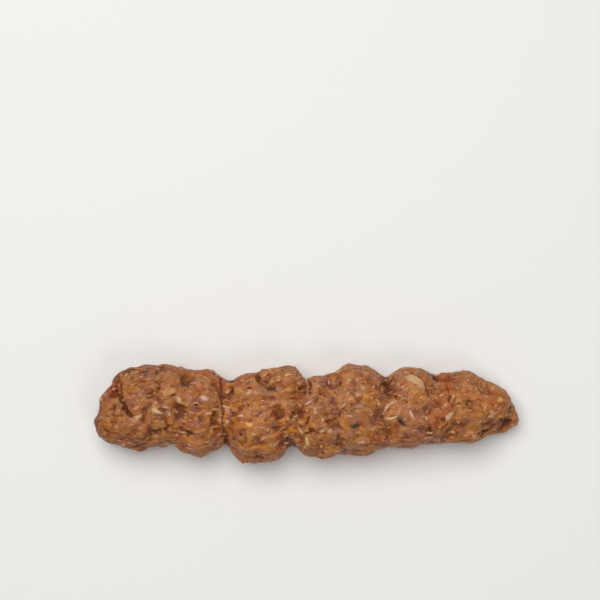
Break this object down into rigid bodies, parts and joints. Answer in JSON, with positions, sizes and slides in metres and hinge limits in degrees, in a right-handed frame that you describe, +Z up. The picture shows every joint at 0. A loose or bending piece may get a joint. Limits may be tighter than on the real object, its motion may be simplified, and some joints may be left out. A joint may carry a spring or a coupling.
{
  "type": "raw kofta kebab",
  "caption": "Raw minced-meat kofta pressed by hand into a knobbly log that tapers to one end, with onion, fat and herbs in the meat.",
  "frame": {"origin": "middle of the underside's bounding box, on the surface that the kofta lies on", "axes": "+X along the log towards its tapered end, +Z up, +Y towards the back"},
  "size_m": [0.18, 0.0424, 0.033],
  "materials": {
    "meat": "moist coarse raw mince, brown and terracotta in patches",
    "onion": "moist, slightly clear, cream",
    "fat": "soft white fat, slightly pink",
    "herb": "wet dark green leaf",
    "pepper": "moist orange and yellow pepper",
    "chilli": "moist red chilli and lean meat",
    "peppercorn": "dark brown crushed peppercorn"
  },
  "bodies": {
    "root": {"kofta": "meat"}
  },
  "joints": []
}
